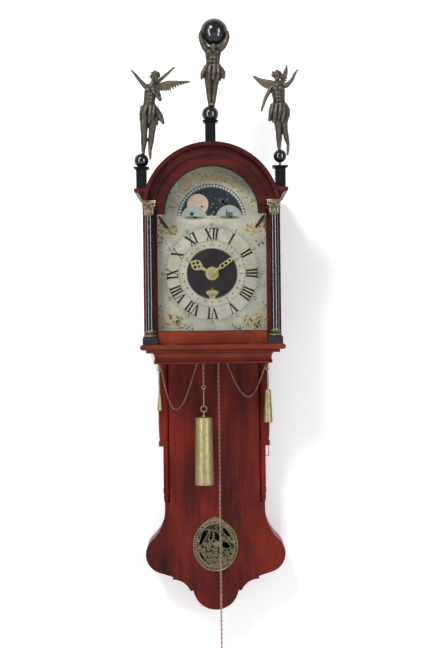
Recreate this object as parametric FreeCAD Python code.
import FreeCAD, Part
import math
import os

# Wall clock with a lifting hood, a shelf, a shallow trunk and a lobed tail.
# Sizes are in millimetres. Heights are counted from the shelf's top, x from the centre line, and
# y from the wall: the front faces -y. The finished pieces are moved so that the hanging hole is
# the origin.

# Overall
HANG_HEIGHT = 376.0
FIT_GAP = 0.3
PIVOT_GAP = 0.08

# Backboard
BACK_T = 12.0
BACK_HALF_UPPER = 90.0
BACK_TOP = 405.0
HANG_HOLE_R = 5.0

# Trunk and tail
TRUNK_DEPTH = 92.0
TRUNK_TOP = -45.0
PANEL_T = 16.0
SIDE_T = 17.0
NECK_HALF = 121.0
RIM_T = 10.0
EAR_X = 123.0
EAR_Z = -510.4
EAR_R = 46.0
FLARE_R = 105.0
STEP_HALF = 104.4
STEP_TOP = -564.5
STEP_DROP = 6.5
COVE_R = 46.2
LOBE_R = 55.2
LOBE_SHOULDER = 54.5
TAIL_TIP = -645.0
COVE_END_HALF = 62.2

# Turned columns at the trunk's corners
CORNER_COL_Y = -84.0
UPPER_COL_R = 13.0
LOWER_COL_R = 8.0
LOWER_COL_X = 117.0
COL_JOINT = -249.0
COL_FOOT = -385.0

# Pendulum window
WINDOW_Z = -489.0
WINDOW_HALF_W = 55.0
WINDOW_HALF_H = 63.0
WINDOW_RIM = 9.0
WINDOW_T = 3.0
WINDOW_CROWN = 72.0
WINDOW_BAR = 4.0

# Shelf
SHELF_HALF = 137.0
SHELF_FRONT = -232.0
SHELF_H = 45.0
SHELF_WALL = 14.0
TORUS_OUT = 30.0
TORUS_H = 13.0
FILLET_OUT = 17.0
FILLET_H = 7.0
SHELF_BOARD_T = 12.0
CHAIN_HOLE_R = 7.0
ALARM_HOLE_X = (-37.5, 29.5)
PENDULUM_SLOT_HALF = 70.0

# Seat board and movement plates
SEAT_HALF = 80.0
SEAT_TOP = 60.0
SEAT_T = 12.0
SEAT_FRONT = -160.0
SEAT_REAR = -70.0
PLATE_HALF = 64.0
PLATE_H = 185.0
PLATE_T = 3.0
FRONT_PLATE_Y = -158.0
BACK_PLATE_Y = -88.0
PILLAR_X = 56.0
PILLAR_LOW = 68.0
PILLAR_HIGH = 236.0
PILLAR_R = 4.5

# Going train: teeth, modules and wheel planes
CENTER_Z = 164.4
GREAT_TEETH = 72
GREAT_MODULE = 1.0
GREAT_X = -6.0
LEAVES = 8
CENTER_TEETH = 64
CENTER_MODULE = 0.9
THIRD_TEETH = 60
THIRD_MODULE = 0.8
THIRD_X = 24.0
ESCAPE_TEETH = 36
ESCAPE_R = 20.0
ANCHOR_Z = 225.6
GREAT_Y = -137.5
CENTER_WHEEL_Y = -113.5
THIRD_WHEEL_Y = -98.0
ESCAPE_Y = -92.0
WHEEL_T = 2.5
SPOKE = 3.0
PINION_L = 8.0
ARBOR_R = 2.0
PIVOT_R = 1.3

# Motion work and hands
CANNON_TEETH = 12
MINUTE_TEETH = 36
MOTION_MODULE = 1.0
MINUTE_LEAVES = 10
HOUR_TEETH = 40
CANNON_BORE = 2.1
CANNON_R = 3.3
HOUR_BORE = 3.5
HOUR_PIPE_R = 5.5
MINUTE_HAND_L = 110.0
MINUTE_HAND_ANGLE = 54.0
HOUR_HAND_L = 73.0
HOUR_HAND_ANGLE = 299.0
HAND_T = 1.2
ALARM_DISC_R = 15.6

# Dial
DIAL_FRONT = -186.0
DIAL_T = 2.0
DIAL_HALF = 135.0
DIAL_BOTTOM = 12.0
DIAL_SHOULDER = 300.0
DIAL_ARCH_R = 118.0
DIAL_FOOT_R = 3.0
MOON_PIVOT_Z = 294.0
SKY_R = 71.7
HUMP_R = 30.4
HUMP_X = 41.3
MOON_DISC_R = 75.0
DATE_RING_R = 62.0
DATE_WINDOW_Z = -53.0
DATE_WINDOW = 9.0
DISC_T = 1.5
COLLAR_R = 12.0
COLLAR_BORE = 9.0

# Pendulum
PENDULUM_Y = -46.0
PENDULUM_L = 700.0
ROD_R = 2.0
BOB_R = 42.0
BOB_T = 16.0
EYE_R = 5.5
CRUTCH_DROP = 70.0

# Chains, sprockets and weights
CHAIN_D = 4.0
SPROCKET_R = 18.0
CHAIN_Y = -125.0
WEIGHT_HOOK_TOP = -99.0
PULL_CHAIN_END = -740.0
PULL_RING_R = 9.0
WEIGHT_TOP = -175.0
WEIGHT_H = 164.0
WEIGHT_R_TOP = 20.0
WEIGHT_R_BOTTOM = 23.0
ALARM_CHAIN_D = 3.0
ALARM_CHAIN_Y = -106.0
ALARM_X = -3.0
ALARM_Z = 84.0
ALARM_SPROCKET_R = 14.0
HOOK_X = 130.0
HOOK_DROP = 13.6
HOOK_BEND_R = 3.0
HOOK_FLAT = 2.0
HOOK_WIRE_R = 1.4
ALARM_WEIGHT_TOP = -106.0
ALARM_WEIGHT_H = 86.0
ALARM_WEIGHT_R = 10.8
COUNTER_TOP = -121.0
COUNTER_H = 40.0
COUNTER_R = 6.0
SIDE_HOOK_Z = -248.0
SIDE_HOOK_Y = -45.0
SIDE_HOOK_L = 16.0
SIDE_LOOP_DROP = 30.0

# Bell and hammer
BELL_R = 36.0
BELL_WALL = 2.5
BELL_Y = -120.0
BELL_MOUTH = 256.0
HAMMER_X = 40.0
HAMMER_Z = 225.0
HAMMER_GAP = 2.5

# Hood
HOOD_HALF = 159.0
HOOD_SIDE_T = 14.0
HOOD_REAR = -14.0
FRAME_FRONT = -222.0
FRAME_T = 16.0
STILE_INNER = 126.5
CORNICE_Z = 331.0
CORNICE_H = 27.0
CORNICE_OUT = 17.5
ARCH_Z = 305.0
ARCH_R = 108.0
ARCH_FOOT = 302.0
ARCH_BOARD_FRONT = -238.0
BAND_R = 131.0
COVE_OUTER_R = 149.0
MOULDING_R = 159.4
MOULDING_FRONT = -262.0
RAIL_H = 31.0
RAIL_PROUD = 4.0
ROOF_R = 152.0
ROOF_T = 8.0
GLASS_T = 2.0
GLASS_LAP = 4.0
SIDE_WINDOW = (-175.0, -45.0, 60.0, 290.0)
REBATE = 3.0

# Hood columns
COL_X = 144.0
PLINTH_W = 34.0
PLINTH_H = 17.0
BASE_H = 16.0
SHAFT_R = 8.75
SHAFT_TOP = 297.0
CAPITAL_HALF = 17.0

# Finials
FINIAL_Y = -240.0
SIDE_PEDESTAL_X = 159.5
PEDESTAL_W = 24.0
PEDESTAL_CAP_W = 36.0
SIDE_PEDESTAL_H = 43.5
TOP_PEDESTAL_H = 42.5
CAP_H = 6.5
LEFT_BALL_R = 16.5
RIGHT_BALL_R = 15.0
RIGHT_BALL_PIN = 7.8
TOP_BALL_R = 19.0
TOP_BALL_SEAT = 3.0
GLOBE_R = 32.0
GLOBE_X = 11.0
GLOBE_Z = 718.5

UP = FreeCAD.Vector(0, 0, 1)
BACKWARDS = FreeCAD.Vector(0, 1, 0)
RIGHT = FreeCAD.Vector(1, 0, 0)


def at(x, y, z):
    return FreeCAD.Vector(x, y, z)


def box(x, y, z):
    """A block between the low and high value of each pair."""
    return Part.makeBox(x[1] - x[0], y[1] - y[0], z[1] - z[0], at(x[0], y[0], z[0]))


def rod_y(x, z, radius, y0, y1):
    return Part.makeCylinder(radius, abs(y1 - y0), at(x, min(y0, y1), z), BACKWARDS)


def rod_z(x, y, radius, z0, z1):
    return Part.makeCylinder(radius, abs(z1 - z0), at(x, y, min(z0, z1)), UP)


def outline(points, place):
    """A closed wire through 2-D points. A third number bows the edge that ends there, to its left."""
    edges = []
    for i, end in enumerate(points):
        start = points[i - 1]
        a, b = place(start[0], start[1]), place(end[0], end[1])
        if len(end) == 2:
            edges.append(Part.LineSegment(a, b).toShape())
            continue
        run = math.hypot(end[0] - start[0], end[1] - start[1])
        across = ((start[1] - end[1]) / run, (end[0] - start[0]) / run)
        middle = place(
            (start[0] + end[0]) / 2 + across[0] * end[2], (start[1] + end[1]) / 2 + across[1] * end[2])
        edges.append(Part.Arc(a, middle, b).toShape())
    return Part.Wire(edges)


def slab(points, y0, y1):
    """A plate with an outline in x and z, from y0 to y1."""
    wire = outline(points, lambda x, z: at(x, y0, z))
    return Part.Face(wire).extrude(at(0, y1 - y0, 0))


def turned(points, x, y):
    """A piece turned about a vertical axis, from points of (radius, height)."""
    wire = outline(points, lambda r, z: at(x + r, y, z))
    return Part.Face(wire).revolve(at(x, y, 0), UP, 360)


def joined(shapes):
    whole = shapes[0].multiFuse(shapes[1:]) if len(shapes) > 1 else shapes[0]
    return whole.removeSplitter()


def mirrored(shape):
    return shape.mirror(at(0, 0, 0), RIGHT)


def pair(shape):
    return Part.makeCompound([shape, mirrored(shape)])


def ring(center, axis, radius, wire_radius):
    return Part.makeTorus(radius, wire_radius, center, axis)


def round_bar(a, b, radius):
    return Part.makeCylinder(radius, (b - a).Length, a, b - a)


def tube(points, diameter, lead=()):
    """A round tube along lead edges, then straight runs joined by arcs as large as the runs allow."""
    runs = [(b - a).Length for a, b in zip(points, points[1:])]
    edges, start, radii = list(lead), points[0], []
    for i in range(1, len(points) - 1):
        before = (points[i - 1] - points[i]).normalize()
        after = (points[i + 1] - points[i]).normalize()
        turn = math.pi - before.getAngle(after)
        cut = 0.45 * min(runs[i - 1], runs[i])
        radii.append(cut / math.tan(turn / 2))
        a, b = points[i] + before * cut, points[i] + after * cut
        bisector = (before + after).normalize()
        middle = points[i] + bisector * (radii[-1] / math.cos(turn / 2) - radii[-1])
        edges += [Part.LineSegment(start, a).toShape(), Part.Arc(a, middle, b).toShape()]
        start = b
    edges.append(Part.LineSegment(start, points[-1]).toShape())
    return swept(edges, diameter, radii)


def swept(edges, diameter, radii):
    path = Part.Wire(edges)
    first = edges[0]
    start, along = first.valueAt(first.FirstParameter), first.tangentAt(first.FirstParameter)
    section = Part.Wire([Part.Circle(start, along, diameter / 2).toShape()])
    solid = path.makePipeShell([section], True, True)
    expected = math.pi * diameter**2 / 4 * path.Length
    share = solid.Volume / expected
    print(f"tube length {path.Length:.1f} radii {[round(r, 1) for r in radii]} volume share {share:.4f}")
    return solid


def mitred(profile, half, front, rear):
    """A moulding round the front and both sides of a rectangle, from a profile of (outward, height)."""
    reach = 60.0
    runs = []
    across = outline(profile, lambda o, z: at(-half - reach, front - o, z))
    length = 2 * (half + reach)
    runs.append((Part.Face(across).extrude(at(length, 0, 0)), [
        (-half - reach, front - reach), (half + reach, front - reach), (half - reach, front + reach),
        (reach - half, front + reach)]))
    for side in (-1, 1):
        along = outline(profile, lambda o, z: at(side * (half + o), front - reach, z))
        runs.append((Part.Face(along).extrude(at(0, rear - front + reach, 0)), [
            (side * (half + reach), front - reach), (side * (half + reach), rear),
            (side * (half - reach), rear), (side * (half - reach), front + reach)]))
    pieces = []
    for run, plan in runs:
        low = outline(plan, lambda x, y: at(x, y, -1000))
        pieces.append(run.common(Part.Face(low).extrude(at(0, 0, 2000))))
    return joined(pieces)


def gear(teeth, module, x, z, y, thickness, tooth=0.0, share=0.4):
    """A toothed disc whose tooth number 0 points at the angle tooth, in degrees from +x towards +z."""
    pitch_r = teeth * module / 2
    step = 2 * math.pi / teeth
    rows = [(pitch_r - 1.15 * module, 1.2), (pitch_r, 1.0), (pitch_r + 0.85 * module, 0.45)]
    points = []
    for n in range(teeth):
        middle = math.radians(tooth) + n * step
        flank = [(r, share * step / 2 * w) for r, w in rows]
        points += [(x + r * math.cos(middle - a), z + r * math.sin(middle - a)) for r, a in flank]
        points += [(x + r * math.cos(middle + a), z + r * math.sin(middle + a)) for r, a in reversed(flank)]
    return slab(points, y - thickness / 2, y + thickness / 2)


def crossed_out(wheel, x, z, hub, rim, count):
    """A wheel with round holes between its hub and its rim."""
    middle = (hub + rim) / 2
    radius = min((rim - hub) / 2, middle * math.sin(math.pi / count) - SPOKE / 2)
    for n in range(count):
        angle = 2 * math.pi * (n + 0.5) / count
        hole = rod_y(x + middle * math.cos(angle), z + middle * math.sin(angle), radius, -400, 0)
        wheel = wheel.cut(hole)
    return wheel


def arbor(x, z, rear_end=BACK_PLATE_Y + PLATE_T, front_end=FRONT_PLATE_Y):
    """An arbor between the plates with a pivot at each end."""
    body = rod_y(x, z, ARBOR_R, FRONT_PLATE_Y + PLATE_T + FIT_GAP, BACK_PLATE_Y - FIT_GAP)
    return body.fuse(rod_y(x, z, PIVOT_R, front_end, rear_end))


def heading(from_x, from_z, to_x, to_z):
    return math.degrees(math.atan2(to_z - from_z, to_x - from_x))


# Places of the train's arbors, worked out from teeth and modules
GREAT_REACH = GREAT_MODULE * (GREAT_TEETH + LEAVES) / 2
GREAT_Z = CENTER_Z - math.sqrt(GREAT_REACH**2 - GREAT_X**2)
THIRD_REACH = CENTER_MODULE * (CENTER_TEETH + LEAVES) / 2
THIRD_Z = CENTER_Z + math.sqrt(THIRD_REACH**2 - THIRD_X**2)
ESCAPE_REACH = THIRD_MODULE * (THIRD_TEETH + LEAVES) / 2
ESCAPE_Z = THIRD_Z + math.sqrt(ESCAPE_REACH**2 - THIRD_X**2)
MOTION_REACH = MOTION_MODULE * (CANNON_TEETH + MINUTE_TEETH) / 2
HOUR_MODULE = 2 * MOTION_REACH / (MINUTE_LEAVES + HOUR_TEETH)
UPPER_COL_X = LOWER_COL_X - LOWER_COL_R + UPPER_COL_R
PANEL_HALF = LOWER_COL_X - LOWER_COL_R - FIT_GAP
PANEL_BACK = -TRUNK_DEPTH + PANEL_T
ARCH_TOP = ARCH_Z + MOULDING_R
FRAME_BACK = FRAME_FRONT + FRAME_T
COL_Y = FRAME_FRONT - PLINTH_W / 2
HOOD_FOOT = FIT_GAP
CORNICE_TOP = CORNICE_Z + FIT_GAP + CORNICE_H

parts = {}


# Tail outline, shared by the backboard, the front and the rim
def tail_half(inset=0.0):
    """The right side of the tail from the neck to its step, drawn in by inset."""
    flare_x = NECK_HALF + FLARE_R
    flare_z = EAR_Z + math.sqrt((FLARE_R + EAR_R) ** 2 - (flare_x - EAR_X) ** 2)
    flare_r, ear_r = FLARE_R + inset, EAR_R - inset
    turn = math.atan2(flare_z - EAR_Z, flare_x - EAR_X)
    reach = math.hypot(STEP_HALF - EAR_X, STEP_TOP - EAR_Z)
    leave = math.atan2(STEP_TOP - EAR_Z, STEP_HALF - EAR_X) + math.acos(EAR_R / reach)
    meet = (EAR_X + ear_r * math.cos(turn), EAR_Z + ear_r * math.sin(turn))
    off = (EAR_X + ear_r * math.cos(leave), EAR_Z + ear_r * math.sin(leave))
    step = (STEP_HALF - inset * math.cos(leave), STEP_TOP - inset * math.sin(leave))
    return [
        (NECK_HALF - inset, flare_z),
        (*meet, -flare_r * (1 - math.cos(turn / 2))),
        (*off, ear_r * (1 - math.cos((turn - leave) / 2))),
        step,
    ]


def tail_outline(upper):
    """The whole outline: the given points of the right side, then the tail and the mirrored side."""
    cove_top = STEP_TOP - STEP_DROP
    run = math.hypot(STEP_HALF - COVE_END_HALF, cove_top - LOBE_SHOULDER_Z)
    half = upper + tail_half() + [
        (STEP_HALF, cove_top),
        (COVE_END_HALF, LOBE_SHOULDER_Z, math.sqrt(COVE_R**2 - (run / 2) ** 2) - COVE_R),
        (LOBE_SHOULDER, LOBE_SHOULDER_Z),
    ]
    return close_outline(half, (-LOBE_SHOULDER, LOBE_SHOULDER_Z, LOBE_SHOULDER_Z - TAIL_TIP))


def close_outline(half, bottom):
    """A right side from top to bottom, an edge across the bottom, and the mirrored left side."""
    bows = [p[2:] for p in half] + [()]
    left = [(-half[i][0], half[i][1], *bows[i + 1]) for i in range(len(half) - 2, -1, -1)]
    return half + [bottom] + left


def sphere(x, y, z, radius):
    return Part.makeSphere(radius, at(x, y, z))


def arched(half, bottom, shoulder, radius, y0, y1):
    """A plate with square shoulders under a round arch about the arch's centre."""
    foot = math.sqrt(radius**2 - (shoulder - ARCH_Z) ** 2)
    top = ARCH_Z + radius - shoulder
    return slab([(-half, bottom), (-half, shoulder), (-foot, shoulder), (foot, shoulder, top),
                 (half, shoulder), (half, bottom)], y0, y1)


LOBE_SHOULDER_Z = TAIL_TIP + LOBE_R - math.sqrt(LOBE_R**2 - LOBE_SHOULDER**2)

# Backboard with the hanging hole
back = slab(tail_outline([(BACK_HALF_UPPER, BACK_TOP), (BACK_HALF_UPPER, TRUNK_TOP), (NECK_HALF, TRUNK_TOP)]),
            -BACK_T, 0)
parts["backboard"] = back.cut(rod_y(0, HANG_HEIGHT, HANG_HOLE_R, -BACK_T - 1, 1))

# Trunk front with the oval opening
front = slab(tail_outline([(PANEL_HALF, TRUNK_TOP), (PANEL_HALF, COL_FOOT), (NECK_HALF, COL_FOOT)]),
             -TRUNK_DEPTH, PANEL_BACK)


def oval(half_w, half_h, y0, y1):
    """An upright oval plate about the window's centre."""
    shape = Part.Ellipse(at(0, 0, 0), half_h, half_w).toShape()
    plate = Part.Face(Part.Wire([shape])).extrude(at(0, 0, y1 - y0))
    plate.rotate(at(0, 0, 0), UP, 90)
    plate.rotate(at(0, 0, 0), RIGHT, -90)
    plate.translate(at(0, y0, WINDOW_Z))
    return plate


WINDOW_OPEN = (WINDOW_HALF_W - WINDOW_RIM, WINDOW_HALF_H - WINDOW_RIM)
parts["trunk_front"] = front.cut(oval(*WINDOW_OPEN, -TRUNK_DEPTH - 1, PANEL_BACK + 1))

# Trunk sides, hollowed for the corner columns
side = box((NECK_HALF - SIDE_T, NECK_HALF), (PANEL_BACK, -BACK_T), (COL_FOOT, TRUNK_TOP))
side = side.cut(rod_z(UPPER_COL_X, CORNER_COL_Y, UPPER_COL_R + FIT_GAP, COL_JOINT - FIT_GAP, 0))
side = side.cut(rod_z(LOWER_COL_X, CORNER_COL_Y, LOWER_COL_R + FIT_GAP, COL_FOOT - 1, COL_JOINT))
parts["trunk_sides"] = pair(side)

# Rim round the tail between front and back
rim = slab(tail_outline([(NECK_HALF, COL_FOOT)]), PANEL_BACK, -BACK_T)
inner_half = [(NECK_HALF - RIM_T, COL_FOOT + 1)] + tail_half(RIM_T) + [
    (STEP_HALF - 1.5 * RIM_T, STEP_TOP), (LOBE_SHOULDER - RIM_T, LOBE_SHOULDER_Z + 1.5 * RIM_T)]
lobe_inner = (RIM_T - LOBE_SHOULDER, LOBE_SHOULDER_Z + 1.5 * RIM_T, LOBE_SHOULDER_Z - TAIL_TIP + RIM_T / 2)
parts["tail_rim"] = rim.cut(slab(close_outline(inner_half, lobe_inner), PANEL_BACK - 1, -BACK_T + 1))

# Turned corner columns, each in two lengths
upper = turned([
    (0, TRUNK_TOP), (UPPER_COL_R, TRUNK_TOP), (UPPER_COL_R, TRUNK_TOP - 7),
    (UPPER_COL_R - 2.5, TRUNK_TOP - 10),
    (UPPER_COL_R - 1.5, TRUNK_TOP - 70, 0.5), (UPPER_COL_R - 0.3, TRUNK_TOP - 135, 0.5),
    (UPPER_COL_R - 1.6, COL_JOINT + 22, 0.5), (UPPER_COL_R - 3, COL_JOINT + 14),
    (UPPER_COL_R, COL_JOINT + 11, 0.8), (UPPER_COL_R, COL_JOINT + FIT_GAP), (0, COL_JOINT + FIT_GAP)],
    UPPER_COL_X, CORNER_COL_Y)
lower = turned([
    (0, COL_JOINT), (LOWER_COL_R - 1, COL_JOINT), (LOWER_COL_R - 0.8, COL_FOOT + 40),
    (LOWER_COL_R - 1.6, COL_FOOT + 37),
    (LOWER_COL_R, COL_FOOT + 35), (LOWER_COL_R, COL_FOOT + 23), (LOWER_COL_R - 1.6, COL_FOOT + 21),
    (LOWER_COL_R - 0.8, COL_FOOT + 10), (LOWER_COL_R - 3, COL_FOOT), (0, COL_FOOT)],
    LOWER_COL_X, CORNER_COL_Y)
parts["corner_columns"] = Part.makeCompound([upper, lower, mirrored(upper), mirrored(lower)])

# Pierced brass window over the oval opening, with its pins
WINDOW_BACK = -TRUNK_DEPTH
WINDOW_FRONT = WINDOW_BACK - WINDOW_T
rim_plate = oval(WINDOW_HALF_W, WINDOW_HALF_H, WINDOW_FRONT, WINDOW_BACK)
rim_plate = rim_plate.cut(oval(*WINDOW_OPEN, WINDOW_FRONT - 1, 0))
bars = [rim_plate]
for tilt in (45, -45):
    bar = box((-WINDOW_HALF_H, WINDOW_HALF_H), (WINDOW_FRONT, WINDOW_BACK), (-WINDOW_BAR / 2, WINDOW_BAR / 2))
    bar.rotate(at(0, 0, 0), BACKWARDS, tilt)
    bar.translate(at(0, 0, WINDOW_Z))
    bars.append(bar.common(oval(*[s + 1 for s in WINDOW_OPEN], WINDOW_FRONT, WINDOW_BACK)))
for x, z, r in ((0, 27, 18), (0, -27, 18), (24, 0, 16), (-24, 0, 16), (0, 0, 10)):
    loop = rod_y(x, WINDOW_Z + z, r, WINDOW_FRONT, WINDOW_BACK)
    bars.append(loop.cut(rod_y(x, WINDOW_Z + z, r - WINDOW_BAR * 0.8, WINDOW_FRONT - 1, 0)))
crown_top = WINDOW_Z + WINDOW_CROWN
crown = slab([
    (-16, crown_top - 16), (-19, crown_top - 4), (-9, crown_top - 7), (0, crown_top), (9, crown_top - 7),
    (19, crown_top - 4), (16, crown_top - 16)], WINDOW_FRONT, WINDOW_BACK)
bars.append(crown)
for x in (-40, 40):
    bars.append(rod_y(x, WINDOW_Z + 45, 5.5, WINDOW_FRONT, WINDOW_BACK))
    bars.append(rod_y(x, WINDOW_Z - 45, 5.5, WINDOW_FRONT, WINDOW_BACK))
pins = [rod_y(x, WINDOW_Z + z, 2.2, WINDOW_FRONT - 1.5, WINDOW_FRONT) for x in (-40, 40) for z in (-45, 45)]
parts["pendulum_window"] = Part.makeCompound([joined(bars)] + pins)

# Shelf moulding and its board
TORUS_BOW = TORUS_OUT - 24.0
shelf_profile = [
    (-SHELF_WALL, -SHELF_H), (-SHELF_WALL, 0), (TORUS_OUT - TORUS_BOW, 0),
    (TORUS_OUT - TORUS_BOW, -TORUS_H, TORUS_BOW), (FILLET_OUT, -TORUS_H), (FILLET_OUT, -TORUS_H - FILLET_H),
    (2.7, -TORUS_H - FILLET_H), (0, -SHELF_H + 5, -3), (0, -SHELF_H)]
parts["shelf_moulding"] = mitred(shelf_profile, SHELF_HALF, SHELF_FRONT, 0)
MAIN_STRANDS = (GREAT_X - SPROCKET_R, GREAT_X + SPROCKET_R)
SHELF_INNER = SHELF_HALF - SHELF_WALL
BOARD_TOP = SHELF_BOARD_T - SHELF_H
board = box((-SHELF_INNER, SHELF_INNER), (SHELF_FRONT + SHELF_WALL, -BACK_T), (-SHELF_H, BOARD_TOP))
board = board.cut(box((-PENDULUM_SLOT_HALF, PENDULUM_SLOT_HALF), (-64, -28), (-SHELF_H - 1, 0)))
for x in MAIN_STRANDS:
    board = board.cut(rod_z(x, CHAIN_Y, CHAIN_HOLE_R, -SHELF_H - 1, 0))
for x in ALARM_HOLE_X:
    board = board.cut(rod_z(x, ALARM_CHAIN_Y, CHAIN_HOLE_R, -SHELF_H - 1, 0))
parts["shelf_board"] = board

# Seat board on two cheeks
seat = box((-SEAT_HALF, SEAT_HALF), (SEAT_FRONT, SEAT_REAR), (SEAT_TOP - SEAT_T, SEAT_TOP))
for x in MAIN_STRANDS:
    seat = seat.cut(rod_z(x, CHAIN_Y, CHAIN_HOLE_R, 0, SEAT_TOP + 1))
for side in (-1, 1):
    seat = seat.cut(rod_z(ALARM_X + side * ALARM_SPROCKET_R, ALARM_CHAIN_Y, CHAIN_HOLE_R, 0, SEAT_TOP + 1))
cheek = box((SEAT_HALF - SEAT_T, SEAT_HALF), (SEAT_FRONT, SEAT_REAR), (BOARD_TOP, SEAT_TOP - SEAT_T))
parts["seat_board"] = Part.makeCompound([seat, cheek, mirrored(cheek)])

# Movement plates and pillars
ARBORS = ((GREAT_X, GREAT_Z), (THIRD_X, THIRD_Z), (0, ESCAPE_Z), (0, ANCHOR_Z), (ALARM_X, ALARM_Z),
          (HAMMER_X, HAMMER_Z))
FRONT_INSIDE = FRONT_PLATE_Y + PLATE_T


def plate(y):
    blank = box((-PLATE_HALF, PLATE_HALF), (y, y + PLATE_T), (SEAT_TOP, SEAT_TOP + PLATE_H))
    for x, z in ARBORS:
        blank = blank.cut(rod_y(x, z, PIVOT_R + PIVOT_GAP, y - 1, y + PLATE_T + 1))
    return blank


stud = rod_y(MOTION_REACH, CENTER_Z, ARBOR_R, FRONT_PLATE_Y - 15, FRONT_PLATE_Y)
center_hole = rod_y(0, CENTER_Z, CANNON_BORE, FRONT_PLATE_Y - 1, FRONT_INSIDE + 1)
parts["front_plate"] = plate(FRONT_PLATE_Y).cut(center_hole).fuse(stud).removeSplitter()
parts["back_plate"] = plate(BACK_PLATE_Y).cut(
    rod_y(0, CENTER_Z, PIVOT_R + PIVOT_GAP, BACK_PLATE_Y - 1, BACK_PLATE_Y + PLATE_T + 1))
CORNERS = [(side * PILLAR_X, z) for side in (-1, 1) for z in (PILLAR_LOW, PILLAR_HIGH)]
parts["movement_pillars"] = Part.makeCompound(
    [rod_y(x, z, PILLAR_R, FRONT_INSIDE, BACK_PLATE_Y) for x, z in CORNERS])

# Going train: each pinion's gap faces a tooth of the wheel that drives it
to_center = heading(GREAT_X, GREAT_Z, 0, CENTER_Z)
to_third = heading(0, CENTER_Z, THIRD_X, THIRD_Z)
to_escape = heading(THIRD_X, THIRD_Z, 0, ESCAPE_Z)


def pinion(leaves, module, x, z, y, length, driver):
    """A pinion with a gap between two leaves facing back to its driver."""
    return gear(leaves, module, x, z, y, length, driver + 180 + 180 / leaves)


great = crossed_out(gear(GREAT_TEETH, GREAT_MODULE, GREAT_X, GREAT_Z, GREAT_Y, WHEEL_T, to_center),
                    GREAT_X, GREAT_Z, 9, 31, 6)
parts["great_wheel"] = joined([great, arbor(GREAT_X, GREAT_Z)])
SPROCKET_CORE = SPROCKET_R - CHAIN_D / 2 - 0.5
SPROCKET_HALF_W = CHAIN_D / 2 + 1.2
sprocket = [rod_y(GREAT_X, GREAT_Z, SPROCKET_CORE, CHAIN_Y - SPROCKET_HALF_W, CHAIN_Y + SPROCKET_HALF_W)]
for side in (-1, 1):
    sprocket.append(rod_y(GREAT_X, GREAT_Z, SPROCKET_R + 2.5, CHAIN_Y + side * SPROCKET_HALF_W,
                          CHAIN_Y + side * (SPROCKET_HALF_W + 1.8)))
sprocket = joined(sprocket)
sprocket = sprocket.cut(rod_y(GREAT_X, GREAT_Z, ARBOR_R + PIVOT_GAP, CHAIN_Y - 20, CHAIN_Y + 20))
parts["chain_sprocket"] = sprocket
ARBOR_FRONT = DIAL_FRONT - 13.5
center = crossed_out(gear(CENTER_TEETH, CENTER_MODULE, 0, CENTER_Z, CENTER_WHEEL_Y, WHEEL_T, to_third),
                     0, CENTER_Z, 8, 25, 6)
center_arbor = rod_y(0, CENTER_Z, ARBOR_R, ARBOR_FRONT, BACK_PLATE_Y - FIT_GAP).fuse(
    rod_y(0, CENTER_Z, PIVOT_R, BACK_PLATE_Y - 1, BACK_PLATE_Y + PLATE_T))
parts["center_wheel"] = joined([
    center, center_arbor, pinion(LEAVES, GREAT_MODULE, 0, CENTER_Z, GREAT_Y, PINION_L, to_center)])
third = crossed_out(gear(THIRD_TEETH, THIRD_MODULE, THIRD_X, THIRD_Z, THIRD_WHEEL_Y, WHEEL_T, to_escape),
                    THIRD_X, THIRD_Z, 7, 20, 6)
parts["third_wheel"] = joined([
    third, arbor(THIRD_X, THIRD_Z),
    pinion(LEAVES, CENTER_MODULE, THIRD_X, THIRD_Z, CENTER_WHEEL_Y, PINION_L, to_third)])
escape_points = []
for n in range(ESCAPE_TEETH):
    for shift, radius in ((0.0, ESCAPE_R), (0.12, ESCAPE_R), (0.62, ESCAPE_R - 4.5), (0.9, ESCAPE_R - 4.5)):
        angle = 2 * math.pi * (n + shift) / ESCAPE_TEETH
        escape_points.append((radius * math.cos(angle), ESCAPE_Z + radius * math.sin(angle)))
escape = crossed_out(slab(escape_points, ESCAPE_Y - 1, ESCAPE_Y + 1), 0, ESCAPE_Z, 5, 13, 5)
parts["escape_wheel"] = joined([
    escape, arbor(0, ESCAPE_Z),
    pinion(LEAVES, THIRD_MODULE, 0, ESCAPE_Z, THIRD_WHEEL_Y, PINION_L, to_escape)])

# Anchor with its crutch
CRUTCH_Y = BACK_PLATE_Y + PLATE_T + 5
anchor_half = [(0, ANCHOR_Z + 4.4), (8, ANCHOR_Z + 2.4), (19.5, ANCHOR_Z - 8.6), (17.8, ANCHOR_Z - 13),
               (15.4, ANCHOR_Z - 11.6), (7.5, ANCHOR_Z - 3.4), (0, ANCHOR_Z - 2.4)]
anchor_points = anchor_half + [(-x, z) for x, z in reversed(anchor_half[1:-1])]
fork_z = ANCHOR_Z - CRUTCH_DROP
PRONG = (ROD_R + FIT_GAP, ROD_R + FIT_GAP + 3)
prong = box(PRONG, (CRUTCH_Y, PENDULUM_Y + 6), (fork_z, fork_z + 6))
parts["anchor"] = joined([
    slab(anchor_points, ESCAPE_Y - 1.5, ESCAPE_Y + 1.5), arbor(0, ANCHOR_Z, rear_end=CRUTCH_Y + 3),
    box((-3, 3), (CRUTCH_Y, CRUTCH_Y + 3), (fork_z, ANCHOR_Z + 4)),
    box((-PRONG[1], PRONG[1]), (CRUTCH_Y, CRUTCH_Y + 3), (fork_z, fork_z + 6)), prong, mirrored(prong)])

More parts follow.
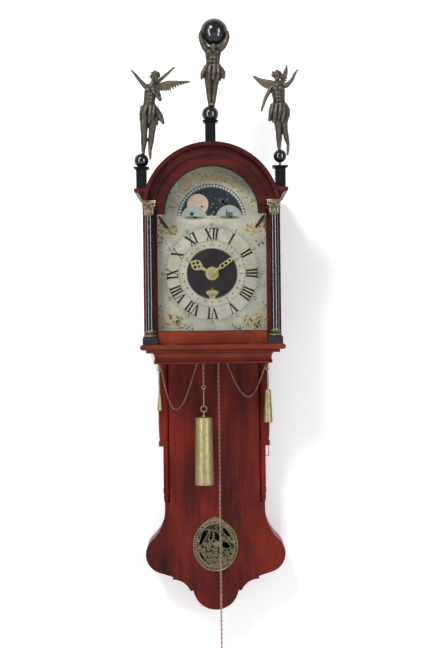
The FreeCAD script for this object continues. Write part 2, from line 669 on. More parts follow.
# Pendulum on its cock
cock = [box((-14, 14), (-BACK_T - 4, -BACK_T), (ANCHOR_Z - 20, ANCHOR_Z + 20)),
        rod_y(0, ANCHOR_Z, ROD_R, PENDULUM_Y - 8, -BACK_T - 1),
        rod_y(0, ANCHOR_Z, ROD_R + 2, PENDULUM_Y - 10, PENDULUM_Y - 8)]
parts["pendulum_cock"] = joined(cock)
BOB_Z = ANCHOR_Z - PENDULUM_L
ROD_END = BOB_Z - BOB_R - 12
rod = joined([rod_y(0, ANCHOR_Z, EYE_R, PENDULUM_Y - 3, PENDULUM_Y + 3),
              rod_z(0, PENDULUM_Y, ROD_R, ROD_END, ANCHOR_Z - 1)])
parts["pendulum_rod"] = rod.cut(rod_y(0, ANCHOR_Z, ROD_R + PIVOT_GAP, PENDULUM_Y - 9, PENDULUM_Y + 9))
lens = outline([(0, BOB_T / 2), (BOB_R, 1, 3), (BOB_R, -1), (0, -BOB_T / 2, 3)],
               lambda r, y: at(r, PENDULUM_Y + y, BOB_Z))
bob = Part.Face(lens).revolve(at(0, 0, BOB_Z), BACKWARDS, 360)
rod_hole = rod_z(0, PENDULUM_Y, ROD_R + PIVOT_GAP, ROD_END - 5, BOB_Z + BOB_R + 5)
nut = rod_z(0, PENDULUM_Y, 6, BOB_Z - BOB_R - 8, BOB_Z - BOB_R)
parts["pendulum_bob"] = Part.makeCompound([bob.cut(rod_hole), nut.cut(rod_hole)])

# Motion work
CANNON_Y = FRONT_PLATE_Y - 5
HOUR_Y = CANNON_Y - 6
CANNON_FRONT = DIAL_FRONT - 10.5
HOUR_PIPE_FRONT = DIAL_FRONT - 6
cannon = joined([rod_y(0, CENTER_Z, CANNON_R, CANNON_FRONT, FRONT_PLATE_Y - 2.5),
                 gear(CANNON_TEETH, MOTION_MODULE, 0, CENTER_Z, CANNON_Y, 4, 0)])
parts["cannon_pinion"] = cannon.cut(rod_y(0, CENTER_Z, CANNON_BORE, CANNON_FRONT - 1, FRONT_PLATE_Y))
minute = joined([
    gear(MINUTE_TEETH, MOTION_MODULE, MOTION_REACH, CENTER_Z, CANNON_Y, 2, 180 + 180 / MINUTE_TEETH),
    rod_y(MOTION_REACH, CENTER_Z, 3.4, HOUR_Y, CANNON_Y),
    gear(MINUTE_LEAVES, HOUR_MODULE, MOTION_REACH, CENTER_Z, HOUR_Y, 5, 180 + 180 / MINUTE_LEAVES)])
parts["minute_wheel"] = minute.cut(
    rod_y(MOTION_REACH, CENTER_Z, ARBOR_R + PIVOT_GAP, HOUR_Y - 10, FRONT_PLATE_Y))
hour = joined([gear(HOUR_TEETH, HOUR_MODULE, 0, CENTER_Z, HOUR_Y, 2, 0),
               rod_y(0, CENTER_Z, HOUR_PIPE_R, HOUR_PIPE_FRONT, HOUR_Y + 1)])
parts["hour_wheel"] = hour.cut(rod_y(0, CENTER_Z, HOUR_BORE, HOUR_PIPE_FRONT - 1, FRONT_PLATE_Y))


# Hands, drawn pointing at twelve and turned clockwise to the hour shown
def hand(half, holes, hub_r, bore, front, angle):
    points = half + [(-x, z) for x, z in reversed(half[1:])]
    shape = slab([(x, CENTER_Z + z) for x, z in points], front, front + HAND_T)
    shape = shape.fuse(rod_y(0, CENTER_Z, hub_r, front, front + HAND_T))
    for x, z, r in holes:
        shape = shape.cut(rod_y(x, CENTER_Z + z, r, front - 1, front + HAND_T + 1))
    shape = shape.cut(rod_y(0, CENTER_Z, bore, front - 1, front + HAND_T + 1)).removeSplitter()
    shape.rotate(at(0, 0, CENTER_Z), BACKWARDS, angle)
    return shape


MINUTE_FRONT = CANNON_FRONT + 0.6
HOUR_FRONT = HOUR_PIPE_FRONT + 0.6
minute_half = [
    (0, MINUTE_HAND_L), (1.4, 62), (2.6, 58), (5.0, 54), (5.4, 50), (4.4, 45.5), (5.8, 42), (5.8, 38.5),
    (4.4, 35), (5.8, 31.5), (5.8, 28), (3.4, 23), (2.8, 18), (2.6, 4), (2.6, -8)]
minute_holes = ((0, 51, 3.0), (0, 40.3, 3.6), (0, 29.8, 3.6))
minute_hand = hand(minute_half, minute_holes, 7, CANNON_R + 0.05, MINUTE_FRONT, MINUTE_HAND_ANGLE)
hand_nut = rod_y(0, CENTER_Z, 4.6, CANNON_FRONT - 3, CANNON_FRONT).cut(
    rod_y(0, CENTER_Z, CANNON_BORE, CANNON_FRONT - 4, CANNON_FRONT + 1))
parts["minute_hand"] = Part.makeCompound([minute_hand, hand_nut])
hour_half = [
    (0, HOUR_HAND_L), (1.6, 58), (4, 54), (11, 48), (12.6, 40), (8, 31), (4, 27), (3.2, 20), (3.2, 4),
    (3.2, -4)]
parts["hour_hand"] = hand(hour_half, ((0, 49, 3), (-6.2, 42, 3.6), (6.2, 42, 3.6), (0, 35, 2.6)), 9.5,
                          HOUR_PIPE_R + 0.05, HOUR_FRONT, HOUR_HAND_ANGLE)
alarm_disc = rod_y(0, CENTER_Z, ALARM_DISC_R, DIAL_FRONT - 2.8, DIAL_FRONT - 1.4)
parts["alarm_disc"] = alarm_disc.cut(rod_y(0, CENTER_Z, HOUR_PIPE_R + PIVOT_GAP, -400, 0))

# Dial plate with moon opening and date window
DIAL_BACK = DIAL_FRONT + DIAL_T
dial = arched(DIAL_HALF, DIAL_BOTTOM, DIAL_SHOULDER, DIAL_ARCH_R, DIAL_FRONT, DIAL_BACK)
dial = dial.cut(rod_y(0, CENTER_Z, COLLAR_BORE, DIAL_FRONT - 1, DIAL_BACK + 1))
sky = rod_y(0, MOON_PIVOT_Z, SKY_R, DIAL_FRONT - 1, DIAL_BACK + 1)
sky = sky.common(box((-SKY_R, SKY_R), (DIAL_FRONT - 2, DIAL_BACK + 2), (MOON_PIVOT_Z - 2, 600)))
for side in (-1, 1):
    sky = sky.cut(rod_y(side * HUMP_X, MOON_PIVOT_Z, HUMP_R, DIAL_FRONT - 2, DIAL_BACK + 2))
sky = sky.common(box((-SKY_R, SKY_R), (DIAL_FRONT - 2, DIAL_BACK + 2), (MOON_PIVOT_Z + 6, 600)))
dial = dial.cut(sky)
date_z = CENTER_Z + DATE_WINDOW_Z
half_window = DATE_WINDOW / 2
dial = dial.cut(box((-half_window, half_window), (DIAL_FRONT - 1, DIAL_BACK + 1),
                    (date_z - half_window, date_z + half_window)))
parts["dial_plate"] = dial

# Feet of the dial, the date disc's collar and the moon disc's stud
feet = [rod_y(x, z, DIAL_FOOT_R, DIAL_BACK, FRONT_PLATE_Y) for x, z in CORNERS]
MOON_BACK = DIAL_BACK + 0.3 + DISC_T
DATE_BACK = MOON_BACK + 0.6 + DISC_T
collar = joined([rod_y(0, CENTER_Z, COLLAR_R, DIAL_BACK, DATE_BACK + 1.5),
                 rod_y(0, CENTER_Z, COLLAR_R + 2, DATE_BACK + 0.3, DATE_BACK + 1.5)])
feet.append(collar.cut(rod_y(0, CENTER_Z, COLLAR_BORE, DIAL_BACK - 1, DATE_BACK + 2)))
feet.append(joined([rod_y(0, MOON_PIVOT_Z, 2.5, DIAL_BACK, MOON_BACK + 1.2),
                    rod_y(0, MOON_PIVOT_Z, 5, MOON_BACK + 0.3, MOON_BACK + 1.5)]))
parts["dial_feet"] = Part.makeCompound(feet)
MOON_TEETH = 118
moon = gear(MOON_TEETH, 2 * MOON_DISC_R / MOON_TEETH, 0, MOON_PIVOT_Z, MOON_BACK - DISC_T / 2, DISC_T, 0)
parts["moon_disc"] = moon.cut(rod_y(0, MOON_PIVOT_Z, 2.5 + PIVOT_GAP, DIAL_BACK, MOON_BACK + 1))
DATE_TEETH = 62
date = gear(DATE_TEETH, 2 * DATE_RING_R / DATE_TEETH, 0, CENTER_Z, DATE_BACK - DISC_T / 2, DISC_T, 0)
parts["date_disc"] = date.cut(rod_y(0, CENTER_Z, COLLAR_R + PIVOT_GAP, DIAL_BACK, DATE_BACK + 1))

# Bell, stand, alarm wheel and hammer
PLATE_TOP = SEAT_TOP + PLATE_H
bell = turned([(3.1, BELL_MOUTH + 30), (12, BELL_MOUTH + 30), (BELL_R - 3, BELL_MOUTH + 14, 4),
               (BELL_R, BELL_MOUTH, 0.6), (BELL_R - BELL_WALL, BELL_MOUTH),
               (BELL_R - 3 - BELL_WALL, BELL_MOUTH + 13, -0.6), (12, BELL_MOUTH + 30 - BELL_WALL, -4),
               (3.1, BELL_MOUTH + 30 - BELL_WALL)], 0, BELL_Y)
parts["bell"] = bell
BELL_SEAT = BELL_MOUTH + 30 - BELL_WALL
stand = joined([box((-6, 6), (FRONT_INSIDE, BACK_PLATE_Y), (PLATE_TOP - 7, PLATE_TOP - 1)),
                rod_z(0, BELL_Y, 3, PLATE_TOP - 2, BELL_MOUTH + 36),
                rod_z(0, BELL_Y, 7, BELL_SEAT - 4, BELL_SEAT)])
bell_nut = rod_z(0, BELL_Y, 5.5, BELL_MOUTH + 30, BELL_MOUTH + 35).cut(
    rod_z(0, BELL_Y, 3.05, BELL_MOUTH + 29, BELL_MOUTH + 40))
parts["bell_stand"] = Part.makeCompound([stand, bell_nut])
alarm_core = ALARM_SPROCKET_R - ALARM_CHAIN_D / 2 - 0.5
alarm_half_w = ALARM_CHAIN_D / 2 + 1
alarm = [arbor(ALARM_X, ALARM_Z),
         rod_y(ALARM_X, ALARM_Z, alarm_core, ALARM_CHAIN_Y - alarm_half_w, ALARM_CHAIN_Y + alarm_half_w),
         gear(24, 1.1, ALARM_X, ALARM_Z, -95, 2, 0)]
for side in (-1, 1):
    alarm.append(rod_y(ALARM_X, ALARM_Z, ALARM_SPROCKET_R + 2.5, ALARM_CHAIN_Y + side * alarm_half_w,
                       ALARM_CHAIN_Y + side * (alarm_half_w + 1.5)))
parts["alarm_wheel"] = joined(alarm)
HEAD_Z = BELL_MOUTH + 6
head_x = BELL_R + HAMMER_GAP
parts["alarm_hammer"] = joined([
    arbor(HAMMER_X, HAMMER_Z),
    box((head_x, head_x + 3), (BELL_Y - 2, BELL_Y + 2), (HAMMER_Z - 4, HEAD_Z)),
    Part.makeCylinder(5, 13, at(head_x, BELL_Y, HEAD_Z), RIGHT)])


# Chains
def chain_arc(x, z, y, radius, side):
    """A quarter turn over a sprocket from its top down to the given side."""
    slant = radius * math.sqrt(0.5)
    middle = at(x + side * slant, y, z + slant)
    return Part.Arc(at(x, y, z + radius), middle, at(x + side * radius, y, z)).toShape()


weight_x, pull_x = MAIN_STRANDS
rise = Part.LineSegment(at(weight_x, CHAIN_Y, WEIGHT_HOOK_TOP), at(weight_x, CHAIN_Y, GREAT_Z)).toShape()
over = Part.Arc(at(weight_x, CHAIN_Y, GREAT_Z), at(GREAT_X, CHAIN_Y, GREAT_Z + SPROCKET_R),
                at(pull_x, CHAIN_Y, GREAT_Z)).toShape()
parts["main_chain"] = swept([rise, over], CHAIN_D, [SPROCKET_R])
fall = Part.LineSegment(at(pull_x, CHAIN_Y, GREAT_Z), at(pull_x, CHAIN_Y, PULL_CHAIN_END)).toShape()
parts["pull_chain"] = swept([fall], CHAIN_D, [])
swag_end = (HOOK_X - HOOK_WIRE_R - ALARM_CHAIN_D / 2 - FIT_GAP, TRUNK_TOP - 5)
left_swag = [(-17, 84), (-17, 58), (-22, 16), (-30, -18), (-42, -56), (-55.5, -98), (-68, -134), (-79, -153),
             (-90, -160.5), (-101, -153), (-110.5, -130), (-118, -98), (-123.5, -70),
             (-swag_end[0], swag_end[1])]
right_swag = [(11, 84), (11, 58), (15, 16), (22.5, -16), (34, -50), (47, -84), (60, -110), (71, -125),
              (83, -131.5), (95, -125), (106, -105), (115.5, -81), (122.5, -63), swag_end]
for name, side, swag in (("alarm_chain_left", -1, left_swag), ("alarm_chain_right", 1, right_swag)):
    lead = chain_arc(ALARM_X, ALARM_Z, ALARM_CHAIN_Y, ALARM_SPROCKET_R, side)
    parts[name] = tube([at(x, ALARM_CHAIN_Y, z) for x, z in swag], ALARM_CHAIN_D, [lead])

# Main weight, its hook and the pull ring
eye_z = WEIGHT_HOOK_TOP - FIT_GAP - 5.5
loop_z = WEIGHT_TOP + 18
hook = joined([ring(at(weight_x, CHAIN_Y, eye_z), BACKWARDS, 4, 1.5),
               rod_z(weight_x, CHAIN_Y, 1.5, loop_z + 6.5, eye_z - 3.5),
               ring(at(weight_x, CHAIN_Y, loop_z), BACKWARDS, 7, 1.5)])
parts["weight_hook"] = hook
WEIGHT_END = WEIGHT_TOP - WEIGHT_H
body = turned([
    (0, WEIGHT_TOP + 3), (4, WEIGHT_TOP + 3), (5, WEIGHT_TOP - 1, -0.5), (WEIGHT_R_TOP - 2, WEIGHT_TOP - 2),
    (WEIGHT_R_TOP, WEIGHT_TOP - 4, 0.8), (WEIGHT_R_BOTTOM, WEIGHT_END + 4),
    (WEIGHT_R_BOTTOM - 3, WEIGHT_END, 1), (0, WEIGHT_END)], weight_x, CHAIN_Y)
parts["main_weight"] = joined([body, ring(at(weight_x, CHAIN_Y, WEIGHT_TOP + 8.3), RIGHT, 6, 1.6)])
pull_eye = PULL_CHAIN_END - FIT_GAP - 4.5
parts["pull_ring"] = joined([
    ring(at(pull_x, CHAIN_Y, pull_eye), BACKWARDS, 3, 1.5),
    ring(at(pull_x, CHAIN_Y, pull_eye - 3 - PULL_RING_R), BACKWARDS, PULL_RING_R, 2.2)])

# Hooks on the case, the two small weights and the wire loop
HOOK_AXIS_Y = ALARM_CHAIN_Y - HOOK_BEND_R - HOOK_FLAT / 2
hook_low = TRUNK_TOP - HOOK_DROP


def under_hook(x):
    """A wire hook with a short level stretch that the hanging ring lies in."""
    bend_z = hook_low + HOOK_BEND_R
    rear, tip_y = HOOK_AXIS_Y + HOOK_FLAT / 2, HOOK_AXIS_Y - HOOK_FLAT / 2 - HOOK_BEND_R
    slant = HOOK_BEND_R * math.sqrt(0.5)
    down = Part.LineSegment(at(x, ALARM_CHAIN_Y, TRUNK_TOP), at(x, ALARM_CHAIN_Y, bend_z)).toShape()
    first = Part.Arc(at(x, ALARM_CHAIN_Y, bend_z), at(x, rear + slant, bend_z - slant),
                     at(x, rear, hook_low)).toShape()
    level = Part.LineSegment(at(x, rear, hook_low), at(x, rear - HOOK_FLAT, hook_low)).toShape()
    second = Part.Arc(at(x, rear - HOOK_FLAT, hook_low), at(x, rear - HOOK_FLAT - slant, bend_z - slant),
                      at(x, tip_y, bend_z)).toShape()
    tip = Part.LineSegment(at(x, tip_y, bend_z), at(x, tip_y, bend_z + 6)).toShape()
    return swept([down, first, level, second, tip], 2 * HOOK_WIRE_R, [HOOK_BEND_R, HOOK_BEND_R])


def side_bar():
    start = at(NECK_HALF, SIDE_HOOK_Y, SIDE_HOOK_Z)
    bar = Part.makeCylinder(HOOK_WIRE_R, SIDE_HOOK_L, start, RIGHT)
    end = at(NECK_HALF + SIDE_HOOK_L - HOOK_WIRE_R, SIDE_HOOK_Y, SIDE_HOOK_Z)
    return joined([bar, Part.makeCylinder(HOOK_WIRE_R, 8, end, UP), Part.makeCylinder(4, 1.5, start, RIGHT)])


parts["case_hooks"] = Part.makeCompound([under_hook(HOOK_X), under_hook(-HOOK_X), side_bar()])
HANGER_R = 4.5
HANGER_WIRE = 1.0
hanger_z = hook_low + HOOK_WIRE_R + HANGER_WIRE + 0.15 - HANGER_R


def hanging(x, top, profile):
    """A small turned weight on a stem under a ring that hangs in a hook."""
    hanger = ring(at(x, HOOK_AXIS_Y, hanger_z), BACKWARDS, HANGER_R, HANGER_WIRE)
    stem = rod_z(x, HOOK_AXIS_Y, 1.1, top - 2, hanger_z - HANGER_R)
    return joined([hanger, stem, turned(profile, x, HOOK_AXIS_Y)])


alarm_end = ALARM_WEIGHT_TOP - ALARM_WEIGHT_H
parts["alarm_weight"] = hanging(HOOK_X, ALARM_WEIGHT_TOP, [
    (0, ALARM_WEIGHT_TOP), (2.5, ALARM_WEIGHT_TOP), (3, ALARM_WEIGHT_TOP - 6, -0.4),
    (ALARM_WEIGHT_R - 3.3, ALARM_WEIGHT_TOP - 8, 0.5), (ALARM_WEIGHT_R, alarm_end + 3),
    (ALARM_WEIGHT_R - 2, alarm_end, 0.8), (0, alarm_end)])
counter_end = COUNTER_TOP - COUNTER_H
parts["counterweight"] = hanging(-HOOK_X, COUNTER_TOP, [
    (0, COUNTER_TOP), (2, COUNTER_TOP), (COUNTER_R, counter_end + 6, 0.6), (COUNTER_R - 1.5, counter_end, 1),
    (0, counter_end)])
LOOP_X = (NECK_HALF + 4, NECK_HALF + SIDE_HOOK_L - 4)
LOOP_EYE = HOOK_WIRE_R + 0.15 + 1.0
eye_low = SIDE_HOOK_Z - LOOP_EYE
loop = [ring(at(x, SIDE_HOOK_Y, SIDE_HOOK_Z), RIGHT, LOOP_EYE, 1.0) for x in LOOP_X]
loop += [rod_z(x, SIDE_HOOK_Y, 1.0, SIDE_HOOK_Z - SIDE_LOOP_DROP, eye_low) for x in LOOP_X]
low = SIDE_HOOK_Z - SIDE_LOOP_DROP
loop.append(round_bar(at(LOOP_X[0], SIDE_HOOK_Y, low), at(LOOP_X[1], SIDE_HOOK_Y, low), 1.0))
loop += [sphere(x, SIDE_HOOK_Y, low, 1.0) for x in LOOP_X]
parts["side_loop"] = joined(loop)

# Hood sides with glazed windows
HOOD_INNER = HOOD_HALF - HOOD_SIDE_T
win_y, win_z = SIDE_WINDOW[:2], SIDE_WINDOW[2:]
wide_y = (win_y[0] - REBATE, win_y[1] + REBATE)
wide_z = (win_z[0] - REBATE, win_z[1] + REBATE)
hood_side = box((HOOD_INNER, HOOD_HALF), (FRAME_BACK, HOOD_REAR), (HOOD_FOOT, CORNICE_Z))
hood_side = hood_side.cut(box((HOOD_INNER - 1, HOOD_HALF + 1), win_y, win_z))
hood_side = hood_side.cut(box((HOOD_INNER - 1, HOOD_INNER + GLASS_T), wide_y, wide_z))
parts["hood_sides"] = pair(hood_side)

# Front frame: stiles and bottom rail
stile = box((STILE_INNER, HOOD_HALF), (FRAME_FRONT, FRAME_BACK), (HOOD_FOOT, CORNICE_Z))
rail_half = STILE_INNER - FIT_GAP
rail = slab([(-rail_half, HOOD_FOOT), (-rail_half, RAIL_H), (rail_half, RAIL_H), (rail_half, HOOD_FOOT)],
            FRAME_FRONT - RAIL_PROUD, FRAME_BACK)
parts["hood_front_frame"] = Part.makeCompound([stile, mirrored(stile), rail])

# Arch board and the moulding round it
ABOVE = CORNICE_Z + FIT_GAP
above_box = box((-300, 300), (-400, 0), (ABOVE, 900))
arch_core = joined([
    box((-rail_half, rail_half), (ARCH_BOARD_FRONT, FRAME_BACK), (ARCH_FOOT, ABOVE + 1)),
    rod_y(0, ARCH_Z, COVE_OUTER_R + 1, ARCH_BOARD_FRONT, FRAME_BACK).common(above_box)])
parts["arch_board"] = arch_core.cut(rod_y(0, ARCH_Z, ARCH_R, ARCH_BOARD_FRONT - 1, FRAME_BACK + 1))
moulding_inner = COVE_OUTER_R + 1 + FIT_GAP
moulding = outline([
    (BAND_R, ARCH_BOARD_FRONT), (COVE_OUTER_R, MOULDING_FRONT + 6, 4), (COVE_OUTER_R, MOULDING_FRONT),
    (MOULDING_R, MOULDING_FRONT), (MOULDING_R, FRAME_BACK), (moulding_inner, FRAME_BACK),
    (moulding_inner, ARCH_BOARD_FRONT)], lambda r, y: at(r, y, ARCH_Z))
parts["arch_moulding"] = Part.Face(moulding).revolve(at(0, 0, ARCH_Z), BACKWARDS, 360).common(above_box)

# Side cornices and the vaulted roof
cornice_low = ABOVE
cornice_profile = [
    (-20, cornice_low), (-20, CORNICE_TOP), (CORNICE_OUT, CORNICE_TOP), (CORNICE_OUT, CORNICE_TOP - 7),
    (CORNICE_OUT - 4, CORNICE_TOP - 9), (2.5, cornice_low + 5, -3), (0, cornice_low + 3), (0, cornice_low)]
cornice = mitred(cornice_profile, HOOD_HALF, MOULDING_FRONT + CORNICE_OUT, HOOD_REAR)
cornice = cornice.cut(rod_y(0, ARCH_Z, MOULDING_R + FIT_GAP, MOULDING_FRONT - 1, FRAME_BACK + FIT_GAP))
parts["side_cornices"] = cornice.cut(rod_y(0, ARCH_Z, ROOF_R + FIT_GAP, MOULDING_FRONT - 1, 0))
roof = rod_y(0, ARCH_Z, ROOF_R, FRAME_BACK, HOOD_REAR).cut(
    rod_y(0, ARCH_Z, ROOF_R - ROOF_T, FRAME_BACK - 1, HOOD_REAR + 1))
parts["hood_roof"] = roof.common(above_box)

# Glasses
GLASS_BACK = FRAME_BACK + 0.5 + GLASS_T
glass_y = (GLASS_BACK - GLASS_T, GLASS_BACK)
front_glass = arched(STILE_INNER + GLASS_LAP, RAIL_H - 9, ARCH_FOOT, ARCH_R + 6, *glass_y)
lap = REBATE - 0.2
side_glass = box((HOOD_INNER + 0.1, HOOD_INNER + GLASS_T - 0.1), (win_y[0] - lap, win_y[1] + lap),
                 (win_z[0] - lap, win_z[1] + lap))
parts["hood_glasses"] = Part.makeCompound([front_glass, side_glass, mirrored(side_glass)])

# Hood columns
base_top = PLINTH_H + BASE_H
half_plinth = PLINTH_W / 2
plinth = box((COL_X - half_plinth, COL_X + half_plinth), (COL_Y - half_plinth, COL_Y + half_plinth),
             (HOOD_FOOT, PLINTH_H))
shaft = turned([(0, SHAFT_TOP), (SHAFT_R, SHAFT_TOP), (SHAFT_R + 0.8, base_top, 0.5), (0, base_top)],
               COL_X, COL_Y)
parts["column_shafts"] = Part.makeCompound([plinth, shaft, mirrored(plinth), mirrored(shaft)])
base_r = half_plinth - 1
brass_base = turned([
    (0, base_top), (SHAFT_R + 1.6, base_top), (SHAFT_R + 1.6, base_top - 2),
    (SHAFT_R + 3.5, base_top - 6, 1.2),
    (SHAFT_R + 2.6, base_top - 8), (base_r - 1.5, base_top - 11, -1.5), (base_r - 1.5, PLINTH_H, 1.5),
    (0, PLINTH_H)], COL_X, COL_Y)
ABACUS_H = 6.0
abacus_z = CORNICE_Z - ABACUS_H
bell_part = turned([(0, abacus_z), (CAPITAL_HALF - 3, abacus_z), (SHAFT_R + 1.2, SHAFT_TOP + 4, -2.5),
                    (SHAFT_R + 2.2, SHAFT_TOP + 2), (SHAFT_R + 1.2, SHAFT_TOP, 0.6), (0, SHAFT_TOP)],
                   COL_X, COL_Y)
abacus = [(COL_X + u * CAPITAL_HALF, COL_Y + v * CAPITAL_HALF, 2.5)
          for u, v in ((-1, -1), (1, -1), (1, 1), (-1, 1))]
abacus_plate = Part.Face(outline(abacus, lambda x, y: at(x, y, abacus_z))).extrude(at(0, 0, ABACUS_H))
leaves = []
for tier, (leaf_z, leaf_r) in enumerate(((SHAFT_TOP + 14, SHAFT_R + 3), (SHAFT_TOP + 24, SHAFT_R + 4.4))):
    for n in range(8):
        angle = math.pi / 4 * (n + 0.5 * tier)
        leaves.append(sphere(COL_X + leaf_r * math.cos(angle), COL_Y + leaf_r * math.sin(angle), leaf_z, 3.2))
capital = joined([bell_part, abacus_plate] + leaves)
parts["column_brasses"] = Part.makeCompound([brass_base, capital, mirrored(brass_base), mirrored(capital)])


# Pedestals, balls and globe
def block(x, width, low, high):
    return box((x - width / 2, x + width / 2), (FINIAL_Y - width / 2, FINIAL_Y + width / 2), (low, high))


def cap(x, low):
    """A cap that spreads from the pedestal's width to its own."""
    a, b = PEDESTAL_W / 2, PEDESTAL_CAP_W / 2
    wires = []
    for half, z in ((a, low), (b, low + CAP_H * 0.6)):
        corners = [(x - half, FINIAL_Y - half), (x + half, FINIAL_Y - half), (x + half, FINIAL_Y + half),
                   (x - half, FINIAL_Y + half)]
        wires.append(outline(corners, lambda u, v: at(u, v, z)))
    spread = Part.makeLoft(wires, True, True)
    return joined([spread, block(x, PEDESTAL_CAP_W, low + CAP_H * 0.6, low + CAP_H)])


side_top = CORNICE_TOP + SIDE_PEDESTAL_H
side_block = joined([block(SIDE_PEDESTAL_X, PEDESTAL_W, CORNICE_TOP, side_top),
                     cap(SIDE_PEDESTAL_X, side_top)])
side_block = side_block.cut(rod_y(0, ARCH_Z, MOULDING_R + FIT_GAP, -400, 0))
arch_top = ARCH_TOP + FIT_GAP
middle_top = arch_top + TOP_PEDESTAL_H
middle_block = joined([block(0, PEDESTAL_W, arch_top - 4, middle_top), cap(0, middle_top)])
middle_block = middle_block.cut(rod_y(0, ARCH_Z, MOULDING_R + FIT_GAP, -400, 0))
parts["pedestals"] = Part.makeCompound([side_block, mirrored(side_block), middle_block])
side_cap_top, middle_cap_top = side_top + CAP_H, middle_top + CAP_H
LEFT_BALL = (-SIDE_PEDESTAL_X, FINIAL_Y, side_cap_top + LEFT_BALL_R - 0.5)
RIGHT_BALL = (SIDE_PEDESTAL_X, FINIAL_Y, side_cap_top + RIGHT_BALL_PIN + RIGHT_BALL_R)
TOP_BALL = (0, FINIAL_Y, middle_cap_top + TOP_BALL_R - TOP_BALL_SEAT)
GLOBE = (GLOBE_X, FINIAL_Y + 4, GLOBE_Z)
flat = box((-300, 300), (-400, 0), (0, side_cap_top))
left_ball = sphere(*LEFT_BALL, LEFT_BALL_R).cut(flat)
right_ball = joined([sphere(*RIGHT_BALL, RIGHT_BALL_R),
                     rod_z(RIGHT_BALL[0], FINIAL_Y, 2.6, side_cap_top, RIGHT_BALL[2])])
top_ball = sphere(*TOP_BALL, TOP_BALL_R).cut(box((-300, 300), (-400, 0), (0, middle_cap_top)))
parts["finial_balls"] = Part.makeCompound([left_ball, right_ball, top_ball, sphere(*GLOBE, GLOBE_R)])


# Figures, built from limbs that taper between rounded joints
def limb(*joints):
    """A chain of tapered lengths through (x, forward, z, radius), forward counted from the finials."""
    shapes = []
    for a, b in zip(joints, joints[1:]):
        start, end = at(a[0], FINIAL_Y - a[1], a[2]), at(b[0], FINIAL_Y - b[1], b[2])
        along = end - start
        if abs(a[3] - b[3]) < 0.01:
            shapes.append(Part.makeCylinder(a[3], along.Length, start, along))
        else:
            shapes.append(Part.makeCone(a[3], b[3], along.Length, start, along))
    for x, forward, z, radius in joints:
        shapes.append(sphere(x, FINIAL_Y - forward, z, radius * 1.03))
    return shapes


def wing(points, rear, thickness=3.0):
    return slab(points, FINIAL_Y + rear, FINIAL_Y + rear + thickness)


def figure(shapes, *balls):
    whole = joined(shapes)
    for x, y, z, radius in balls:
        whole = whole.cut(sphere(x, y, z, radius + FIT_GAP))
    return whole


left_shapes = limb((-126, 3, 619, 10), (-131, 1, 604, 5.5), (-136, 0, 584, 14), (-140.5, 0, 557, 12.5),
                   (-141, 0, 532, 16.5))
left_shapes += limb((-140, 0, 594, 7), (-147, 2, 594, 6), (-165, 4, 614, 4), (-180, 6, 632.5, 3))
left_shapes += limb((-131, 0, 594, 6.5), (-123, 2, 591, 5.5), (-114.5, 5, 563, 4), (-127, 11, 573, 3.2))
left_shapes += limb((-149, 1, 530, 12), (-152.5, 4, 506, 9.5), (-153, 2, 472, 6.5), (-155, 0, 452, 4.6),
                    (-156, 5, 444, 4.2))
left_shapes += limb((-134, 1, 530, 12), (-132.5, 3, 506, 9.5), (-137, 1, 472, 6.5), (-139.5, 2, 449, 4.5),
                    (-138.5, 8, 431, 4))
left_shapes += limb((-141, 0, 548, 14.5), (-141, 0, 520, 19))
left_shapes += limb((-124, 3, 535, 7), (-112, 3, 515, 6), (-106, 2, 508, 3))
left_shapes += [wing([(-134, 600), (-114.5, 600), (-98, 609), (-43, 606), (-57, 599), (-73, 595), (-85, 586),
                      (-99, 584), (-115, 586), (-134, 586)], 5)]
left_shapes += [wing([(-134, 594), (-119, 612), (-79, 643), (-80.5, 639), (-113, 609), (-124, 592)], 7)]
parts["angel_left"] = figure(left_shapes, (*LEFT_BALL, LEFT_BALL_R))

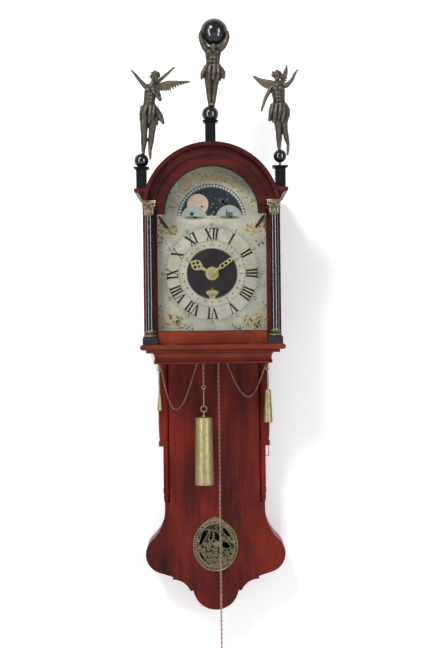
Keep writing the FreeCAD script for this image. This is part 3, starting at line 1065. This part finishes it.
right_shapes = limb((155, 3, 616, 10.5), (156, 1, 602, 5.5), (157, 0, 582, 15), (159, 0, 558, 13),
                    (159, 0, 535, 16))
right_shapes += limb((165, 0, 592, 7), (177, 2, 593, 5.8), (189.5, 3, 605, 4.2), (197, 5, 621, 3.5),
                     (203.5, 6, 629.5, 3))
right_shapes += limb((149, 0, 591, 7), (141, 1, 587, 5.5), (129, 3, 567, 4.2), (117.5, 5, 533.5, 3))
right_shapes += limb((154, 2, 530, 12), (156, 4, 505, 9.5), (158, 2, 480, 6.5), (157.5, 1, 456, 4.6),
                     (158, 4, 450, 4.6))
right_shapes += limb((165, -1, 530, 11.5), (169, 2, 506, 9), (173, 0, 484, 6.5), (179, -4, 459, 4.6),
                     (177, -6, 437, 3.6))
right_shapes += limb((158, 0, 548, 14), (158, 0, 524, 19.5))
right_shapes += limb((145, 4, 535, 7), (137, 5, 520, 5.5), (133.5, 4, 512, 3))
right_shapes += [wing([(156, 602), (139, 604), (120, 609), (97.5, 618.5), (113, 604.5), (129, 590),
                       (141, 588), (156, 586)], 6)]
right_shapes += [wing([(160, 594), (166, 612), (170, 622), (178.5, 643), (181, 628), (180, 618), (172, 600),
                       (168, 588)], 7)]
parts["angel_right"] = figure(right_shapes, (*RIGHT_BALL, RIGHT_BALL_R))

atlas_shapes = limb((9, 14, 680, 8.5), (9, 8, 676, 8), (8, 1, 668, 17), (8, 0, 650, 16), (6.5, 0, 630, 17.5))
for side in (-1, 1):
    hold = GLOBE_X + side * 34
    atlas_shapes += limb((8 + side * 8, 2, 674, 8), (9 + side * 20, 4, 678, 7), (10 + side * 31, 5, 692, 5.2),
                         (hold, 1, 708, 4.4))
    atlas_shapes += limb((6.5 + side * 18, 4, 632, 6), (6.5 + side * 24.5, 3, 612, 4.5))
atlas_shapes += limb((-1, 1, 628, 11), (-3, 5, 600, 9), (-1, 1, 572, 6), (-1, 2, 556, 5), (-2, 6, 551, 4.6))
atlas_shapes += limb((14, 1, 628, 11), (13, 3, 600, 8.5), (9.5, -1, 572, 6), (8, 0, 556, 5), (8, 4, 551, 4.6))
atlas_shapes += limb((6.5, 0, 638, 15.5), (6.5, 0, 616, 20))
parts["atlas"] = figure(atlas_shapes, (*TOP_BALL, TOP_BALL_R), (*GLOBE, GLOBE_R))

# Every piece is moved to the frame of the hanging hole and saved
os.makedirs("parts", exist_ok=True)
for name, shape in parts.items():
    placed = shape.copy()
    placed.translate(at(0, 0, -HANG_HEIGHT))
    placed.exportStep(f"parts/{name}.step")
    print(f"{name} solids {len(placed.Solids)} valid {placed.isValid()} volume {placed.Volume:.0f}")
